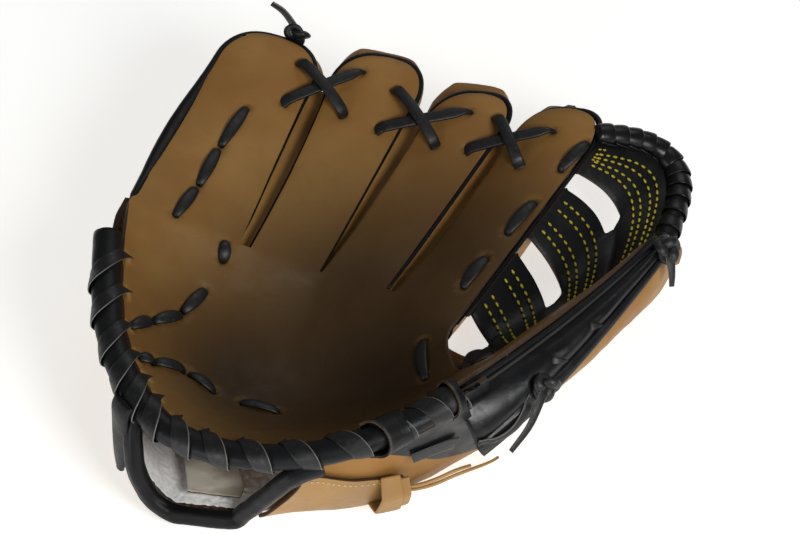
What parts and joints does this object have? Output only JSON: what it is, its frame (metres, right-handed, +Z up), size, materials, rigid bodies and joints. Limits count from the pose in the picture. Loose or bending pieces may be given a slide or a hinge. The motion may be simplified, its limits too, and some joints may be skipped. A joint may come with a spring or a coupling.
{
  "type": "baseball glove",
  "caption": "Laced leather baseball glove for the right hand, lying palm up: hollow finger stalls, cupped palm, window web, rolled heel edge and fleece-lined wrist opening.",
  "frame": {"origin": "middle of the bounding box at its base, on the flat floor under the back of the hand", "axes": "+Y from the wrist to the fingertips, +X from the little finger to the thumb, +Z up out of the palm"},
  "size_m": [0.3068, 0.343, 0.1043],
  "materials": {
    "tan_leather": "satin",
    "black_leather": "satin",
    "lace": "satin",
    "fleece": "matte",
    "label": "matte"
  },
  "bodies": {
    "root": {"palm_panel": "tan_leather", "little_finger_back": "tan_leather", "little_finger_welt": "black_leather", "ring_finger_back": "tan_leather", "ring_finger_welt": "black_leather", "middle_finger_back": "tan_leather", "middle_finger_welt": "black_leather", "index_finger_back": "tan_leather", "index_finger_welt": "black_leather", "thumb_back": "tan_leather", "thumb_welt": "black_leather", "thumb_pad": "black_leather", "heel_roll": "black_leather", "web_panel": "black_leather", "web_rim": "black_leather", "hand_back": "tan_leather", "mouth_binding": "black_leather", "lining": "fleece", "label": "label", "wrist_strap": "tan_leather", "wrist_knot": "tan_leather", "wrist_tail_1": "tan_leather", "wrist_tail_2": "tan_leather", "thumb_base": "black_leather", "heel_tab": "black_leather", "thumb_knot": "lace", "thumb_lace_end": "lace", "thumb_tip_knot": "lace", "thumb_tip_lace_end": "lace", "little_tip_knot": "lace", "little_tip_lace_end": "lace", "palm_stitch_1": "lace", "palm_stitch_2": "lace", "palm_stitch_3": "lace", "palm_stitch_4": "lace", "palm_stitch_5": "lace", "palm_stitch_6": "lace", "palm_stitch_7": "lace", "palm_stitch_8": "lace", "palm_stitch_9": "lace", "little_stitch_1": "lace", "little_stitch_2": "lace", "little_stitch_3": "lace", "index_stitch_1": "lace", "index_stitch_2": "lace", "index_stitch_3": "lace", "tip_lace_1": "lace", "tip_lace_2": "lace", "tip_lace_3": "lace", "tip_lace_4": "lace", "tip_lace_5": "lace", "tip_lace_6": "lace"}
  },
  "joints": []
}
